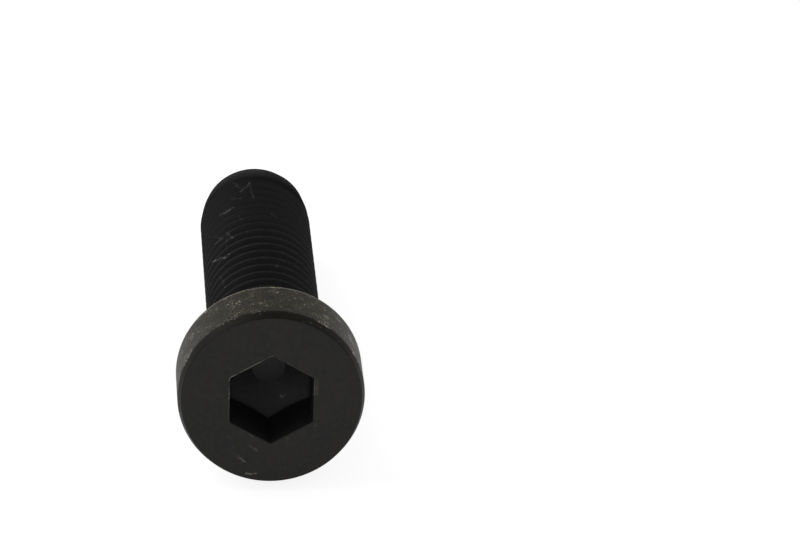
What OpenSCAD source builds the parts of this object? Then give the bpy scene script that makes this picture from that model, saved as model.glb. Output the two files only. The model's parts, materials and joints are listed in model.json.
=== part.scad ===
/* [Head] */
// Diameter of the low cylindrical head
head_d = 15.86; // [13:0.02:20]
// Height of the head, from its top face to the bearing face
head_h = 5.85; // [5:0.05:9]
// Length along the screw of the cone round the top face
crown_l = 0.85; // [0.2:0.05:2]
// Width across the screw of the cone round the top face
crown_w = 0.32; // [0.1:0.02:1]
// Bevel where the bearing face meets the side of the head
rim_bevel = 0.15; // [0.05:0.05:0.5]

/* [Hexagon socket] */
// Width across the flats of the socket
socket_af = 7.06; // [4:0.02:8]
// Depth of the socket's walls at its corners, below the top face
socket_depth = 4.9; // [3:0.1:6]
// Width of the blunt end that the punch leaves at the bottom
socket_tip_d = 2.8; // [1:0.1:3.5]
// Slope of the socket's conical bottom, in degrees
socket_slope = 30; // [10:1:35]

/* [Neck] */
// Diameter of the plain neck between the bearing face and the thread
neck_d = 9.96; // [9:0.02:12]
// Length of the neck
neck_l = 3.6; // [2:0.05:8]
// Radius of the fillet between the bearing face and the neck
neck_fillet = 0.4; // [0.1:0.05:0.8]

/* [Thread] */
// Length of the screw under the head
shank_l = 35; // [20:1:80]
// Outside diameter of the thread
thread_d = 9.9; // [9:0.02:12]
// Distance between neighbouring crests
pitch = 1.5; // [0.8:0.05:2]
// Length over which the thread comes up to its full depth beyond the neck
runout_l = 1.6; // [0.5:0.1:4]

/* [Point] */
// Length of the slight taper over the last turns of the thread
taper_l = 2.5; // [1:0.1:4]
// Diameter where the taper meets the point
taper_d = 9.26; // [8:0.02:11]
// Length of the blunt cone at the end of the screw
point_l = 2.15; // [1:0.05:4]
// Diameter of the flat end
point_d = 7.2; // [5:0.1:8]

/* [Hidden] */

// Facets round the turned surfaces, in a quarter turn of the fillet and in a turn of the thread
round_facets = 128;
fillet_steps = 6;
turn_facets = 40;

// How far one solid reaches into the next, or a cut past a face
lap = 0.3;
// Thread corners nearer than this to an end of the thread fall on that end
end_snap = 0.02;

head_r = head_d / 2;
neck_r = neck_d / 2;
thread_r = thread_d / 2;
taper_r = taper_d / 2;
point_r = point_d / 2;

// Metric thread form: depth, crest flat and root flat follow the pitch
thread_depth = 17 / 24 * pitch * sin(60);
crest_flat = pitch / 8;
root_flat = pitch / 6;
flank_l = (pitch - crest_flat - root_flat) / 2;

// Heights are measured from the bearing face, away from the head
thread_lo = neck_l - lap;
thread_hi = shank_l;
point_lo = shank_l - point_l;
taper_lo = point_lo - taper_l;

// Corners of one pitch of thread, each with its height and its depth below the crest
CORNERS = [
    [root_flat / 2, thread_depth],
    [root_flat / 2 + flank_l, 0],
    [root_flat / 2 + flank_l + crest_flat, 0],
    [pitch - root_flat / 2, thread_depth]
];
corner_count = len(CORNERS);

// Each column of corners starts this many turns below the thread and ends past it
spare_turns = 2;
row_count = corner_count * (ceil((thread_hi - thread_lo) / pitch) + spare_turns + 1);

// The thread's columns stand half a facet off, so that a facet lies flat on the ground,
// a little nearer to the axis than its corners
half_facet = 1 / 2;
facet_share = cos(180 / turn_facets);

// Height of the last full crest straight below the lying screw, for one corner of the thread form
ground_share = 1 / 4;
function last_full(corner) =
    let (first = thread_lo + pitch * ground_share + CORNERS[corner][0])
    first + pitch * floor((taper_lo - first) / pitch);

// The screw lies on two points: the rim of its head and its last full crest
last_crest = max(last_full(1), last_full(2));
rest_tilt = atan((head_r - thread_r * facet_share) / (last_crest + rim_bevel));

// Where the lying screw's axis is, and how far it reaches to the front and back
rest_height = head_r * cos(rest_tilt) - rim_bevel * sin(rest_tilt);
rest_front = (head_r - crown_w) * sin(rest_tilt) + head_h * cos(rest_tilt);
rest_back = point_r * sin(rest_tilt) + shank_l * cos(rest_tilt);

// Height of a thread corner
function corner_height(col, row) =
    thread_lo
    + pitch * ((col + half_facet) / turn_facets + floor(row / corner_count) - spare_turns)
    + CORNERS[row % corner_count][0];

// How far a height is along a stretch, from 0 at its start to 1 at its end
function share_along(height, start, length) = max(0, min(1, (height - start) / length));

// Radius of the taper and the point that end the screw, at a height
function end_radius(height) =
    thread_r
    - (thread_r - taper_r) * share_along(height, taper_lo, taper_l)
    - (taper_r - point_r) * share_along(height, point_lo, point_l);

// A point on the screw, from its column, radius and height
function turned(col, radius, height) =
    let (angle = 360 * (col + half_facet) / turn_facets)
    [radius * cos(angle), radius * sin(angle), height];

// A corner of the thread, which comes up to its full depth past the neck and is cut back at the end
function thread_corner(col, row) =
    let (
        height = corner_height(col, row),
        depth = CORNERS[row % corner_count][1] * share_along(height, neck_l, runout_l)
    )
    turned(col, min(thread_r - depth, end_radius(height)), height);

// Number of a corner in the list of points. The column after the last is the first, one pitch on.
// Corners past either end of the thread fall on that end's ring.
function corner_number(col, row) =
    let (
        own_col = col % turn_facets,
        own_row = row + corner_count * floor(col / turn_facets),
        height = corner_height(own_col, own_row)
    )
    height < thread_lo + end_snap ? own_col
    : height > thread_hi - end_snap ? turn_facets + own_col
    : 2 * turn_facets + own_col * row_count + own_row;

// A triangle, or nothing where two of its corners fall together
function triangle(a, b, c) = a == b || b == c || c == a ? [] : [[a, b, c]];

// The two triangles between neighbouring corners of two columns
function thread_patch(col, row) =
    let (
        a = corner_number(col, row),
        b = corner_number(col + 1, row),
        c = corner_number(col + 1, row + 1),
        d = corner_number(col, row + 1)
    )
    concat(triangle(a, c, b), triangle(a, d, c));

// The threaded length: a grid of corners that climbs one pitch in each turn
module thread() {
    cols = [0 : turn_facets - 1];
    start_ring = [for (col = cols) turned(col, thread_r, thread_lo)];
    end_ring = [for (col = cols) turned(col, point_r, thread_hi)];
    corners = [for (col = cols, row = [0 : row_count - 1]) thread_corner(col, row)];
    patches = [for (col = cols, row = [0 : row_count - 2]) each thread_patch(col, row)];
    start_face = [for (col = cols) col];
    end_face = [for (col = cols) 2 * turn_facets - 1 - col];
    polyhedron(concat(start_ring, end_ring, corners), concat(patches, [start_face, end_face]));
}

// The head and the neck, turned in one profile
module head_and_neck() {
    fillet = [
        for (step = [0 : fillet_steps])
            let (angle = 90 * step / fillet_steps)
            [neck_r + neck_fillet * (1 - sin(angle)), neck_fillet * (1 - cos(angle))]
    ];
    profile = concat(
        [
            [0, -head_h],
            [head_r - crown_w, -head_h],
            [head_r, crown_l - head_h],
            [head_r, -rim_bevel],
            [head_r - rim_bevel, 0]
        ],
        fillet,
        [[neck_r, neck_l], [0, neck_l]]
    );
    rotate_extrude($fn = round_facets) polygon(profile);
}

// The space that the punch makes: six flats ending in a blunt cone
module socket() {
    corner_r = socket_af / 2 / cos(30);
    cone_l = (corner_r - socket_tip_d / 2) * tan(socket_slope);
    punch_r = corner_r + lap;
    intersection() {
        translate([0, 0, -lap])
            rotate(90)
            cylinder(r = corner_r, h = socket_depth + cone_l + 2 * lap, $fn = 6);
        rotate_extrude($fn = round_facets)
            polygon([
                [0, -2 * lap],
                [punch_r, -2 * lap],
                [punch_r, socket_depth - lap * tan(socket_slope)],
                [socket_tip_d / 2, socket_depth + cone_l],
                [0, socket_depth + cone_l]
            ]);
    }
}

// The whole screw, lying with its head to the front and a corner of the socket on top
module cap_screw() {
    color("dimgray")
        translate([0, (rest_front - rest_back) / 2, rest_height])
        rotate([-90 - rest_tilt, 0, 0])
        difference() {
            union() {
                head_and_neck();
                thread();
            }
            translate([0, 0, -head_h]) socket();
        }
}

cap_screw();
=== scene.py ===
import json
from math import atan, cos, pi, radians, sin, sqrt, tan

import bmesh
import bpy
from mathutils import Matrix, Vector


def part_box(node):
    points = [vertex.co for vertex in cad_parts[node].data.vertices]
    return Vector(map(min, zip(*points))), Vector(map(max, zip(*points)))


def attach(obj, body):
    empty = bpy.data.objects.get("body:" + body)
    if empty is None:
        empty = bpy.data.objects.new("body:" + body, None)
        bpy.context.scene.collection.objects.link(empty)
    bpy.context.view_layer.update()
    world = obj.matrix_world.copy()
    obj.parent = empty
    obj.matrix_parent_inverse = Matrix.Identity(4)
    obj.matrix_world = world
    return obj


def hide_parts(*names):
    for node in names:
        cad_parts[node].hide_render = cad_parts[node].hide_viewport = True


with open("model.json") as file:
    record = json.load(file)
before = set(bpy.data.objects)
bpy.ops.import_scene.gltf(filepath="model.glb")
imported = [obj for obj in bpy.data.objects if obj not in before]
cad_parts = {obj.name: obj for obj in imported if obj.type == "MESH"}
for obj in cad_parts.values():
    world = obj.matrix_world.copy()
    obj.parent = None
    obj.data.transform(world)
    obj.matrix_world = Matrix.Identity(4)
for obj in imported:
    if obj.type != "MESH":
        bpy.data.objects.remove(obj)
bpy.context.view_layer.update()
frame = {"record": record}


# THE HEXAGON SOCKET. The screw is one piece of alloy steel, headed cold from wire and blackened
# in hot oxide. A punch leaves six flat walls with slightly round corners, and a cone with a
# blunt middle at the bottom. Bright streaks along the upper and side edges of the lip, most of
# all at the upper left, are painted highlights where those edges catch the light.

mm = 0.001
mounts = {mount["name"]: mount for mount in frame["record"]["mounts"]}
top_centre = Vector(mounts["hex_socket"]["pos_m"])
along = -Vector(mounts["hex_socket"]["axis"]).normalized()
across = Vector((1, 0, 0))
down = along.cross(across)

socket_flats = 7.06 * mm
socket_depth = 4.9 * mm
socket_slope = tan(radians(30))
blunt_radius = 1.4 * mm
corner_round = 0.16 * mm
lip = 0.11 * mm
corner_radius = socket_flats / 2 / cos(pi / 6)

# The whole screw is laid as one closed skin, in rings that run from the bottom of the socket
# over the head and down the thread to the point
steel = bmesh.new()
columns = 168
blunt_shares = (0.35, 0.7, 0.92, 1)
cone_end = 0.97
cone_steps = 6
wall_foot = ((0.995, 0.01 * mm), (1, 0.06 * mm))
wall_steps = 5
lip_steps = 4


def place(angle, radius, height):
    """A point on the screw: radius from its axis, height from the top face towards the point."""
    return top_centre + along * height + (across * cos(angle) + down * sin(angle)) * radius


def angle_of(column):
    return 2 * pi * column / columns


def lay_ring(spots):
    """One closed row of the skin, from a radius and a height at each column."""
    return [steel.verts.new(place(angle_of(i), *spot)) for i, spot in enumerate(spots)]


def even_ring(radius, height):
    return lay_ring([(radius, height)] * columns)


def skin(corners, finish):
    """One face of the skin. Corners that fall together count once."""
    corners = list(dict.fromkeys(corners))
    if len(corners) > 2:
        steel.faces.new(corners).material_index = finish


def join_rings(rings, finish):
    for inner, outer in zip(rings, rings[1:]):
        for i in range(columns):
            after = (i + 1) % columns
            skin([inner[i], inner[after], outer[after], outer[i]], finish)


def spaced(start, end, steps):
    """Evenly spaced values after start, up to and with end."""
    return [start + (end - start) * (step + 1) / steps for step in range(steps)]


def hex_radius(angle, grow=0.0):
    """Distance from the axis to the socket's wall, or to an outline that lies grow outside it."""
    flat = socket_flats / 2 + grow
    from_flat = abs((angle + pi / 6) % (pi / 3) - pi / 6)
    straight = flat - corner_round
    if from_flat <= atan(straight * tan(pi / 6) / flat):
        return flat / cos(from_flat)
    from_corner = pi / 6 - from_flat
    centre = straight / cos(pi / 6)
    return centre * cos(from_corner) + sqrt(corner_round ** 2 - (centre * sin(from_corner)) ** 2)


def cone_height(radius):
    return socket_depth + (corner_radius - radius) * socket_slope


walls = [hex_radius(angle_of(i)) for i in range(columns)]
bottom = steel.verts.new(place(0, 0, cone_height(blunt_radius)))
blunt_rings = [
    even_ring(blunt_radius * share, cone_height(blunt_radius)) for share in blunt_shares
]

floor_rings = [blunt_rings[-1]]
for share in spaced(0, cone_end, cone_steps):
    spots = []
    for wall in walls:
        radius = blunt_radius + (wall - blunt_radius) * share
        spots.append((radius, cone_height(radius)))
    floor_rings.append(lay_ring(spots))
for share, lift in wall_foot:
    floor_rings.append(lay_ring([(wall * share, cone_height(wall) - lift) for wall in walls]))

wall_rings = [floor_rings[-1]]
for share in spaced(0, 1, wall_steps):
    wall_rings.append(
        lay_ring([(wall, cone_height(wall) * (1 - share) + lip * share) for wall in walls])
    )

lip_rings = [wall_rings[-1]]
for turn in spaced(0, pi / 2, lip_steps):
    outward, inward = lip * (1 - cos(turn)), lip * (1 - sin(turn))
    lip_rings.append(
        lay_ring([(hex_radius(angle_of(i), outward), inward) for i in range(columns)])
    )

finishes = []


class Wire:
    """One value or colour on its way through a material's nodes."""

    def __init__(self, tree, socket=None):
        self.tree, self.socket = tree, socket

    def node(self, kind, settings=None, out=0, **inputs):
        """Adds a node: its settings first, then the values or wires of its sockets."""
        made = self.tree.nodes.new(kind)
        for name, value in (settings or {}).items():
            setattr(made, name, value)
        for name, value in inputs.items():
            numbered = name[1:].isdigit()
            socket = made.inputs[int(name[1:]) if numbered else name.replace("_", " ")]
            if isinstance(value, Wire):
                self.tree.links.new(value.socket, socket)
            else:
                socket.default_value = value
        return Wire(self.tree, made.outputs[out] if made.outputs else None)

    def maths(self, operation, first, second):
        return self.node("ShaderNodeMath", {"operation": operation}, i0=first, i1=second)

    def vector(self, operation, other, out=0):
        return self.node("ShaderNodeVectorMath", {"operation": operation}, out, i0=self, i1=other)

    def __add__(self, other):
        return self.maths("ADD", self, other)

    def __mul__(self, other):
        return self.maths("MULTIPLY", self, other)

    def __sub__(self, other):
        return self.maths("SUBTRACT", self, other)

    def __rsub__(self, other):
        return self.maths("SUBTRACT", other, self)

    __radd__, __rmul__ = __add__, __mul__

    def times(self, line):
        """A fixed vector, this many times over."""
        return self.node("ShaderNodeVectorMath", {"operation": "SCALE"}, i0=line, Scale=self)

    def rise(self, low, high):
        """Climbs smoothly from 0 where the value is low to 1 where it is high."""
        settings = {"interpolation_type": "SMOOTHSTEP"}
        return self.node("ShaderNodeMapRange", settings, i0=self, i1=low, i2=high)

    def blend(self, first, second):
        """The first colour where this is 0, the second where it is 1."""
        return self.node("ShaderNodeMix", {"data_type": "RGBA"}, 2, i0=self, i6=first, i7=second)


def new_tree(owner):
    owner.use_nodes = True
    owner.node_tree.nodes.clear()
    return Wire(owner.node_tree)


def tint(level, warmth=0.0):
    """A tone as a colour, with more red and less blue where it is warm."""
    return (level * (1 + warmth * 0.4), level, level * (1 - warmth), 1)


def streak_mask(spot, start, end, width, struck=None):
    """1 on a streak between two places on the screw, and 0 beside it, for scored marks and for
    painted highlights alike.

    Where the blow's direction is given, it marks all that lies before and behind those places.
    """
    full_width = 0.3 * width
    line = end - start
    reached = spot.vector("SUBTRACT", start)
    if struck:
        line = line - struck * line.dot(struck)
        passed = reached.vector("DOT_PRODUCT", struck, 1)
        reached = reached.vector("SUBTRACT", passed.times(struck))
    share = reached.vector("DOT_PRODUCT", line / line.length_squared, 1)
    share = share.maths("MAXIMUM", share.maths("MINIMUM", share, 1), 0)
    return 1 - reached.vector("DISTANCE", share.times(line), 1).rise(full_width, width)


def oxide(
    name, tone, warmth=0.0, gloss=0.1, roughness=0.45, grain=0.3, contrast=1.4, streak=1.0,
    flecks=0.0, softness=0.05, clumps=0.35, metal=(0.24, 0.12), pits=0.0, light_streaks=(),
    struck=None, toned=None,
):
    """Black oxide on steel, with flecks of uncoated steel, dark pits, scored marks and streaks of
    painted highlight.

    The mottle is contrast times lighter, and a streak above 1 flattens the pattern along the
    screw. Toned is two heights from the top face, and the share of its tone that the finish
    changes to from the first to the second. Returns the finish's number.
    """
    finish = bpy.data.materials.new(name)
    tree = new_tree(finish)
    spot = tree.node("ShaderNodeTexCoord", out=3)
    reach = spot.vector("SUBTRACT", top_centre)
    height = reach.vector("DOT_PRODUCT", along, 1)
    pattern = spot.vector("ADD", height.times(along * (streak - 1)))

    def cloud(size, detail, rough=0.55, out=0):
        return pattern.node(
            "ShaderNodeTexNoise",
            out=out,
            Vector=pattern,
            Scale=1 / size,
            Detail=detail,
            Roughness=rough,
        )

    patches = cloud(2.2 * mm, detail=3)
    mottle = cloud(0.45 * mm, detail=4)
    fine = cloud(0.09 * mm, detail=3, rough=0.6)
    specks = cloud(0.16 * mm, detail=2)
    clusters = cloud(1.3 * mm, detail=2)

    # Broad patches of cooler and warmer oxide, and a finer light mottle on them
    cool = tint(tone, warmth * 0.6 - 0.03)
    warm = tint(tone * 1.1, warmth * 1.3 + 0.04)
    light = tint(tone * contrast, warmth)
    colour = patches.rise(0.38, 0.62).blend(cool, warm)
    colour = mottle.rise(0.4, 0.7).blend(colour, light)
    if toned:
        first, last, share = toned
        colour = height.rise(first, last).blend(colour, tint(tone * share, warmth))

    # Dark pits, and flecks rubbed down to bare metal, which lie together in clumps
    pit_limit, pit_edge = 0.8 - pits, 0.86 - pits
    pitted = (1 - specks + (0.5 - clusters) * 0.4).rise(pit_limit, pit_edge)
    colour = pitted.blend(colour, tint(tone * 0.35, warmth + 0.15))
    fleck_limit = 0.875 + clumps / 2 - flecks
    bare_and_highlit = (specks + clusters * clumps).rise(fleck_limit, fleck_limit + softness)

    # Scratches down to the metal, and streaks of painted highlight, which stray a little and
    # break off
    stray = 0.5 * mm
    broken = mottle.rise(0.32, 0.52)
    strayed = cloud(stray, detail=2, out=1)
    strayed = strayed.vector("MULTIPLY", [stray] * 3)
    strayed = spot.vector("ADD", strayed.vector("SUBTRACT", [stray / 2] * 3))
    for start, end, width, strength in light_streaks:
        streaked = streak_mask(strayed, start, end, width, struck) * broken * strength
        bare_and_highlit = bare_and_highlit.maths("MAXIMUM", bare_and_highlit, streaked)
    colour = bare_and_highlit.blend(colour, tint(*metal))

    mottle_rough, fine_rough, bare_metal = 0.12, 0.15, 0.8
    even_rough = roughness - (mottle_rough + fine_rough) / 2
    rough = mottle * mottle_rough + fine * fine_rough + even_rough - bare_and_highlit * 0.1
    relief = fine * 0.5 + mottle - pitted * 0.6 - bare_and_highlit * 0.2
    bump = relief.node("ShaderNodeBump", Strength=grain, Distance=0.01 * mm, Height=relief)
    shader = tree.node(
        "ShaderNodeBsdfPrincipled",
        Base_Color=colour,
        Roughness=rough,
        Metallic=bare_and_highlit * bare_metal,
        Specular_IOR_Level=gloss,
        Normal=bump,
    )
    tree.node("ShaderNodeOutputMaterial", Surface=shader)
    finishes.append(finish)
    return len(finishes) - 1


def marks(*rows):
    """Scratches and streaks of painted highlight, each from the angle in degrees, radius and
    height of both its ends, its width and its strength, with lengths in mm.
    """
    made = []
    for first, second, width, strength in rows:
        ends = [
            place(radians(turn), radius * mm, height * mm)
            for turn, radius, height in (first, second)
        ]
        made.append((*ends, width * mm, strength))
    return made


floor_marks = marks(
    ((65, 2.6, 5.75), (62.5, 2.7, 5.7), 0.16, 0.3),
    ((65, 2.6, 5.75), (54, 2.62, 5.74), 0.12, 0.12),
)
# Painted highlights along the upper and side edges of the lip, laid as streaks of bare metal
lip_highlight_streaks = marks(
    ((-147.4, 4.03, 0.03), (-106.3, 3.7, 0.03), 0.2, 0.5),
    ((-106.3, 3.7, 0.03), (-90, 4.1, 0.03), 0.16, 0.2),
    ((-84, 3.98, 0.03), (-30, 4.13, 0.03), 0.14, 0.07),
    ((-152, 4.05, 0.03), (-178, 3.56, 0.03), 0.2, 0.45),
    ((-178, 3.56, 0.03), (151, 4.03, 0.03), 0.16, 0.1),
    ((-26, 4.1, 0.02), (-8, 3.7, 0.02), 0.16, 0.25),
)
punched_floor = oxide(
    "oxide_on_floor", 0.016, gloss=0.13, roughness=0.4, light_streaks=floor_marks
)
blunt_floor = oxide("oxide_on_blunt_floor", 0.0125, gloss=0.2, roughness=0.4)
punched_wall = oxide("oxide_on_walls", 0.01, gloss=0.1)
# The lip's bare flecks are wear; its streaks are painted highlights
lip_wear_and_painted_highlights = oxide(
    "lip_wear_and_painted_highlights", 0.012, 0.05, gloss=0.12, roughness=0.35, flecks=0.14, light_streaks=lip_highlight_streaks
)

for i in range(columns):
    skin([bottom, blunt_rings[0][i], blunt_rings[0][(i + 1) % columns]], blunt_floor)
join_rings(blunt_rings, blunt_floor)
join_rings(floor_rings, punched_floor)
join_rings(wall_rings, punched_wall)
join_rings(lip_rings, lip_wear_and_painted_highlights)


# THE HEAD. It is upset from the wire as a low cylinder, with a short steep cone round its
# flat top, a rim that keeps the rough skin of the die, and a flat face underneath that bears
# on the work. A fillet leads from there into the neck.

head_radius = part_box("cap_screw")[1].x
head_height = (Vector(mounts["bearing_face"]["pos_m"]) - top_centre).dot(along)
neck_radius = mounts["neck"]["dims"]["r_mm"] * mm
crown_height = 0.85 * mm
crown_width = 0.32 * mm
rim_bevel = 0.15 * mm
neck_fillet = 0.4 * mm
worn_width = 0.16 * mm
crown_ease = rim_ease = 0.09 * mm
foot_ease = 0.12 * mm
bevel_ease = 0.05 * mm
bend_steps = 4
face_steps = 12
rim_steps = 14
under_steps = 4
fillet_steps = 6

face_marks = marks(
    ((121, 3.67, 0), (114.6, 3.72, 0), 0.1, 0.3),
    ((113.7, 4.57, 0), (103.2, 4.83, 0), 0.12, 0.18),
    ((117.9, 5.96, 0), (110.9, 6.14, 0), 0.12, 0.18),
    ((106.5, 7.17, 0), (99.5, 7.0, 0), 0.12, 0.36),
    ((139.8, 4.8, 0), (121.2, 5.72, 0), 0.12, 0.03),
    ((133, 4.87, 0), (132, 4.9, 0), 0.12, 0.12),
    ((70.1, 3.91, 0), (69, 3.95, 0), 0.12, 0.09),
    ((49.1, 4.74, 0), (48, 4.7, 0), 0.12, 0.12),
    ((-26.1, 4.19, 0), (-9, 3.9, 0), 0.12, 0.1),
    ((33.7, 4.42, 0), (30, 4.4, 0), 0.1, 0.12),
)
smooth_face = oxide(
    "oxide_on_face", 0.0148, 0.07, gloss=0.1, contrast=1.3, pits=0.05, light_streaks=face_marks
)
steep_crown = oxide("oxide_on_crown", 0.0048, 0.28, gloss=0.06, flecks=0.13)
worn_foot = oxide(
    "worn_crown_edge", 0.006, 0.35, gloss=0.06, flecks=0.24, softness=0.2, clumps=0.9,
    metal=(0.22, 0.3),
)
rough_rim = oxide(
    "oxide_on_rim", 0.0165, 0.42, gloss=0.045, grain=1.0, contrast=1.8, streak=1.2,
    flecks=0.24, softness=0.27, clumps=0.75, metal=(0.36, 0.28), pits=0.31,
)
worn_edge = oxide(
    "worn_rim_edge", 0.022, 0.4, gloss=0.12, contrast=1.9, streak=1.7,
    flecks=0.35, softness=0.3, metal=(0.35, 0.3),
)
under_head = oxide("oxide_under_head", 0.009, 0.05)


def eased(before, corner, after, ease):
    """Points of a smooth bend at a corner of the head's outline, starting ease before it."""
    before, corner, after = Vector(before), Vector(corner), Vector(after)
    start = corner + (before - corner).normalized() * ease
    end = corner + (after - corner).normalized() * ease
    bend = []
    for step in range(bend_steps + 1):
        share = step / bend_steps
        bend.append(start.lerp(corner, share).lerp(corner.lerp(end, share), share))
    return [tuple(point) for point in bend]


face_corner = (head_radius - crown_width, 0)
crown_corner = (head_radius, crown_height)
rim_corner = (head_radius, head_height - rim_bevel)
bevel_corner = (head_radius - rim_bevel, head_height)
root_corner = (neck_radius, head_height)

crown_edge = eased((0, 0), face_corner, crown_corner, crown_ease)
crown_foot = eased(face_corner, crown_corner, rim_corner, foot_ease)
rim_edge = eased(crown_corner, rim_corner, bevel_corner, rim_ease)
bevel_edge = eased(rim_corner, bevel_corner, root_corner, bevel_ease)
crown_start = bend_steps // 2 + 1

face_rings = [lip_rings[-1]]
for share in spaced(0, 1, face_steps):
    spots = []
    for i in range(columns):
        inside = hex_radius(angle_of(i), lip)
        spots.append((inside + (crown_edge[0][0] - inside) * share, 0))
    face_rings.append(lay_ring(spots))

for radius, height in crown_edge[1:crown_start]:
    face_rings.append(even_ring(radius, height))

crown_rings = [face_rings[-1]]
for radius, height in crown_edge[crown_start:] + crown_foot[:1]:
    crown_rings.append(even_ring(radius, height))

foot_rings = [crown_rings[-1]]
for radius, height in crown_foot[1:]:
    foot_rings.append(even_ring(radius, height))

rim_rings = [foot_rings[-1]]
for height in spaced(crown_foot[-1][1], rim_edge[0][1] - worn_width, rim_steps):
    rim_rings.append(even_ring(head_radius, height))

edge_rings = [rim_rings[-1]]
for radius, height in rim_edge + bevel_edge:
    edge_rings.append(even_ring(radius, height))

under_rings = [edge_rings[-1]]
for radius in spaced(bevel_edge[-1][0], neck_radius + neck_fillet, under_steps):
    under_rings.append(even_ring(radius, head_height))
for turn in spaced(0, pi / 2, fillet_steps):
    under_rings.append(
        even_ring(
            neck_radius + neck_fillet * (1 - sin(turn)),
            head_height + neck_fillet * (1 - cos(turn)),
        )
    )

join_rings(face_rings, smooth_face)
join_rings(crown_rings, steep_crown)
join_rings(foot_rings, worn_foot)
join_rings(rim_rings, rough_rim)
join_rings(edge_rings, worn_edge)
join_rings(under_rings, under_head)


# THE NECK, THREAD AND POINT. Dies roll the thread cold into the shank, so its crests and roots
# are slightly round. It fades out at the plain neck, and grows shallower over the slight taper
# at the other end, to run out on the cone of the point. Knocks have scratched its crests.

shank_length = 35 * mm
neck_length = 3.6 * mm
thread_start = 3.3 * mm
thread_radius = 4.95 * mm
pitch = 1.5 * mm
runout = 1.6 * mm
taper_length = 2.5 * mm
taper_radius = 4.63 * mm
point_length = 2.15 * mm
point_radius = 3.6 * mm
point_start = shank_length - point_length
taper_start = point_start - taper_length

# The metric thread form: the depth is 17/24 of a sharp one's, and half the crest's flat and half
# the root's are these shares of the pitch. The phases are the skin's corners along one pitch.
thread_depth = 17 / 24 * pitch * sin(pi / 3)
crest_half = 1 / 16
root_half = 1 / 12
root_ease, crest_ease = 0.1, 0.25
phases = (
    0, 0.05, 0.083, 0.12, 0.2, 0.3, 0.35, 0.4, 0.437, 0.465,
    0.5, 0.535, 0.563, 0.6, 0.65, 0.7, 0.8, 0.88, 0.917, 0.95,
)
# The rows that take the crest finish, with its painted highlight
crest_rows = range(phases.index(0.4), phases.index(0.6))

# Where the grooves grow shallower near the tip, and where the skin's corners join the end rings
fading_start = 30.6 * mm
fading_length = 1.5 * mm
faded_depth = 0.65
neck_step = 0.03 * mm
neck_snap = 0.05 * mm
end_snap = end_ease = 0.04 * mm
neck_steps = 4
end_shares = (0.97, 0.6, 0.25)
spare_turns = 2
turns = int((shank_length - thread_start) / pitch) + spare_turns + 2

# Turn and height of one end, turn and height of the other, width and strength of a scratch
knocks = (
    (-113.3, 35.5, -106.9, 34.1, 0.16, 0.16),
    (-107.4, 33.1, -97.3, 34.7, 0.09, 0.3),
    (-97.3, 34.7, -94.8, 31.2, 0.09, 0.25),
    (-116.9, 32.4, -108.6, 31.8, 0.12, 0.12),
    (-132.8, 30.5, -117, 30.4, 0.12, 0.25),
    (-76.5, 28.1, -71.9, 27.8, 0.16, 0.15),
    (-112.2, 28.4, -108.7, 27, 0.09, 0.12),
    (-142.3, 27.1, -132, 25.1, 0.12, 0.15),
    (-126.8, 25.7, -119.9, 24, 0.12, 0.2),
    (-127, 25.3, -128.1, 23, 0.09, 0.15),
    (-149.5, 22.8, -125.9, 21, 0.13, 0.4),
    (-143.2, 25.6, -133.7, 25.4, 0.09, 0.12),
    (-79.9, 16, -74.4, 17.8, 0.1, 0.12),
    (-137.7, 17.8, -133.7, 15.1, 0.12, 0.15),
    (-69.6, 20.4, -68, 20.2, 0.12, 0.12),
)
crest = thread_radius / mm
crest_marks = marks(
    *(
        ((turn, crest, height), (end_turn, crest, end_height), width, strength)
        for turn, height, end_turn, end_height, width, strength in knocks
    )
)
flank_marks = [(*scored, strength * 0.5) for *scored, strength in crest_marks]
blow_angle = 0.42
blow = along * cos(blow_angle) + down * sin(blow_angle)
middle, tip = 22 * mm, 31 * mm
light_taper, dark_taper = 36.9 * mm, 36.5 * mm
# The crests are painted lighter, as a highlight, and the flanks darker, as shade in the grooves,
# though both are one oxide. From the middle of the shank towards the point the painted highlight
# and shade fade: the flanks are painted lighter and the crests darker.
flank_oxide_painted_shade = oxide(
    "oxide_and_painted_shade_on_flanks", 0.005, gloss=0.1, metal=(0.2, 0.02), light_streaks=flank_marks,
    struck=blow, toned=(middle, tip, 2.3),
)
crest_oxide_painted_highlight = oxide(
    "oxide_and_painted_highlight_on_crests", 0.013, gloss=0.05, metal=(0.2, 0.02), light_streaks=crest_marks,
    struck=blow, toned=(middle, tip, 0.65),
)
smooth_taper = oxide(
    "oxide_on_taper", 0.026, gloss=0.0, contrast=1.2, toned=(light_taper, dark_taper, 0.55)
)


def smooth_least(first, second, ease):
    """The lesser of two values, with a smooth change from one to the other."""
    overlap = max(ease - abs(first - second), 0) / ease
    return min(first, second) - overlap ** 2 * ease / 4


def form_share(phase):
    """How deep the thread is cut at a phase of its pitch: 0 at the crest, 1 at the root."""
    slope_start, slope_end = crest_half, 0.5 - root_half
    share = (abs(phase - 0.5) - slope_start) / (slope_end - slope_start)
    return smooth_least(1, -smooth_least(0, -share, crest_ease), root_ease)


def end_radius(height):
    """Radius of the taper, drawn on past its start, and of the point at the screw's end."""
    taper = (thread_radius - taper_radius) / taper_length
    cone = (taper_radius - point_radius) / point_length
    beyond = height - point_start
    return taper_radius - max(beyond * taper, beyond * cone)


def thread_spot(column, row):
    """Radius and height from the bearing face of a corner of the thread."""
    phase = phases[row % len(phases)]
    turn = column / columns + row // len(phases) - spare_turns
    height = thread_start + pitch * (turn + phase)
    cut = thread_depth * form_share(phase) * min(1, max(0, (height - neck_length) / runout))
    cut *= 1 - (1 - faded_depth) * min(1, max(0, (height - fading_start) / fading_length))
    return smooth_least(thread_radius - cut, end_radius(height), end_ease), height


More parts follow.
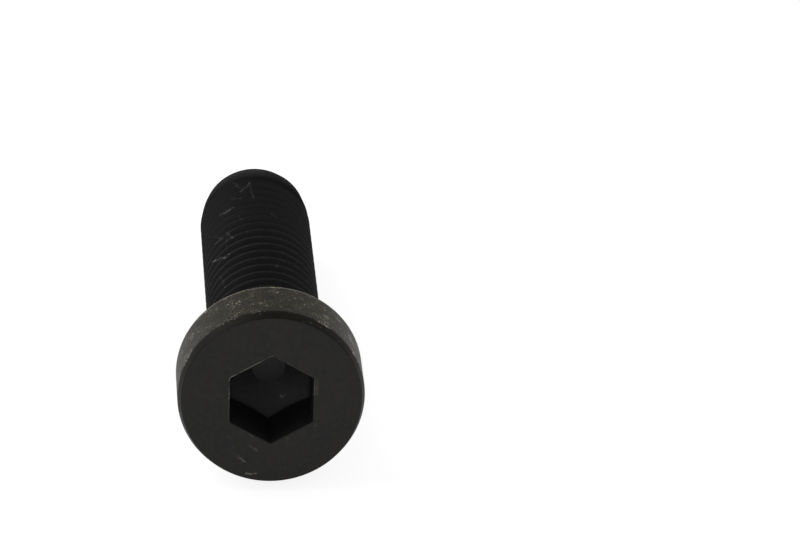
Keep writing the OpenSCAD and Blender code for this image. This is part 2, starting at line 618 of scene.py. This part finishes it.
neck_rings = [under_rings[-1]]
for height in spaced(neck_fillet, neck_length, neck_steps):
    neck_rings.append(even_ring(neck_radius, head_height + height))
neck_rings.append(even_ring(thread_radius, head_height + neck_length + neck_step))
end_rings = [even_ring(point_radius, head_height + shank_length)]
laid = {}


def thread_corner(column, row):
    """The skin's corner at a column and a row. The column after the last starts a turn on."""
    row += len(phases) * (column // columns)
    column %= columns
    radius, height = thread_spot(column, row)
    if height < neck_length + neck_snap:
        return neck_rings[-1][column]
    if height > shank_length - end_snap:
        return end_rings[0][column]
    if (column, row) not in laid:
        laid[column, row] = steel.verts.new(
            place(angle_of(column), radius, head_height + height)
        )
    return laid[column, row]


def thread_finish(column, row):
    """The taper has a finish of its own, and so have the crests, whose lighter colour is a
    painted highlight.
    """
    if thread_spot(column, row)[1] > taper_start:
        return smooth_taper
    return crest_oxide_painted_highlight if row % len(phases) in crest_rows else flank_oxide_painted_shade


for column in range(columns):
    for row in range(turns * len(phases)):
        corners = [
            thread_corner(column, row),
            thread_corner(column + 1, row),
            thread_corner(column + 1, row + 1),
            thread_corner(column, row + 1),
        ]
        skin(corners, thread_finish(column, row))

for share in end_shares:
    end_rings.append(even_ring(point_radius * share, head_height + shank_length))
end_centre = steel.verts.new(place(0, 0, head_height + shank_length))
join_rings(neck_rings, flank_oxide_painted_shade)
join_rings(end_rings, under_head)
for i in range(columns):
    skin([end_rings[-1][i], end_rings[-1][(i + 1) % columns], end_centre], under_head)

bmesh.ops.recalc_face_normals(steel, faces=steel.faces)
crease = radians(26)
for face in steel.faces:
    face.smooth = True
for edge in steel.edges:
    edge.smooth = edge.calc_face_angle(0) < crease

screw_mesh = bpy.data.meshes.new("blackened_cap_screw")
steel.to_mesh(screw_mesh)
steel.free()
for finish in finishes:
    screw_mesh.materials.append(finish)
cap_screw = bpy.data.objects.new("blackened_cap_screw", screw_mesh)
bpy.context.collection.objects.link(cap_screw)
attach(cap_screw, "root")
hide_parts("cap_screw")


# THE STUDIO. The screw lies on a pale matt table, whose light colour the steel mirrors. The
# room is bright round the table's edge and dimmer overhead, as under a plain white tent.

half_width = 1.5
mirrored_level = 0.45
seen_level = 0.85

table = bpy.data.meshes.new("table")
table.from_pydata(
    [(x * half_width, y * half_width, 0) for x, y in ((-1, -1), (1, -1), (1, 1), (-1, 1))],
    [],
    [(0, 1, 2, 3)],
)
pale = bpy.data.materials.new("pale_table")
tree = new_tree(pale)
by_eye, by_metal, by_glass = [tree.node("ShaderNodeLightPath", out=ray) for ray in (0, 3, 6)]
paint = tree.node("ShaderNodeBsdfDiffuse", Color=tint(0.8))
mirrored = tree.node("ShaderNodeEmission", Color=(by_metal + by_glass) * mirrored_level)
mirrored = tree.node("ShaderNodeAddShader", i0=paint, i1=mirrored)
thin_paint = tree.node("ShaderNodeBsdfDiffuse", Color=tint(0.25))
seen = tree.node("ShaderNodeEmission", Color=tint(seen_level))
seen = tree.node("ShaderNodeAddShader", i0=thin_paint, i1=seen)
shown = tree.node("ShaderNodeMixShader", i0=by_eye, i1=mirrored, i2=seen)
tree.node("ShaderNodeOutputMaterial", Surface=shown)
table.materials.append(pale)
table_top = bpy.data.objects.new("table", table)
bpy.context.collection.objects.link(table_top)

tent = bpy.data.worlds.new("white_tent")
tree = new_tree(tent)
direction = tree.node("ShaderNodeTexCoord", out=0)
to_right = direction.node("ShaderNodeSeparateXYZ", out=0, i0=direction).rise(-0.3, 0.3)
overhead = direction.node("ShaderNodeSeparateXYZ", out=2, i0=direction).rise(0.35, 0.85)
light = to_right.blend(tint(1.2), tint(0.9))
light = overhead.blend(light, tint(0.4))
light = tree.node("ShaderNodeLightPath", out=0).blend(light, tint(1))
tree.node("ShaderNodeOutputWorld", Surface=tree.node("ShaderNodeBackground", Color=light))
bpy.context.scene.world = tent

lamp_width = 0.6
lamps = (("left_lamp", (-0.5, 0.2, 0.6), 2.8), ("right_lamp", (0.5, 0.2, 0.6), 0.6))
for name, stand, power in lamps:
    lamp = bpy.data.lights.new(name, "AREA")
    lamp.energy = power
    lamp.size = lamp_width
    lamp_stand = bpy.data.objects.new(name, lamp)
    lamp_stand.location = stand
    lamp_stand.rotation_euler = (-Vector(stand)).to_track_quat("-Z", "Y").to_euler()
    bpy.context.collection.objects.link(lamp_stand)


# THE CAMERA. It looks down along the screw from in front of its head. Its place is given as
# the camera sees it: how far the head's top face is to the right, below and away.

frame_width = 800
focal_pixels = 5055
swing, dip = -0.071, 0.425
seen_right, seen_below, seen_away = -10.817 * mm, 11.282 * mm, 425.83 * mm

axis_seen = Vector((sin(swing) * cos(dip), -sin(dip), cos(swing) * cos(dip)))
left_seen = axis_seen.cross(Vector((0, 1, 0))).normalized()
top_seen = axis_seen.cross(left_seen)
seen_axes = Matrix((-left_seen, -top_seen, axis_seen)).transposed()
screw_axes = Matrix((across, down, along)).transposed()
right, below, forward = (screw_axes @ seen_axes.transposed()).transposed()

camera = bpy.data.cameras.new("camera")
camera.sensor_width = 36
camera.lens = camera.sensor_width * focal_pixels / frame_width
camera.clip_start, camera.clip_end = 0.01, 10
camera_stand = bpy.data.objects.new("camera", camera)
spot = top_centre - right * seen_right - below * seen_below - forward * seen_away
turned = Matrix((right, -below, -forward)).transposed().to_4x4()
camera_stand.matrix_world = Matrix.Translation(spot) @ turned
bpy.context.collection.objects.link(camera_stand)
bpy.context.scene.camera = camera_stand
bpy.context.scene.view_settings.view_transform = "Standard"
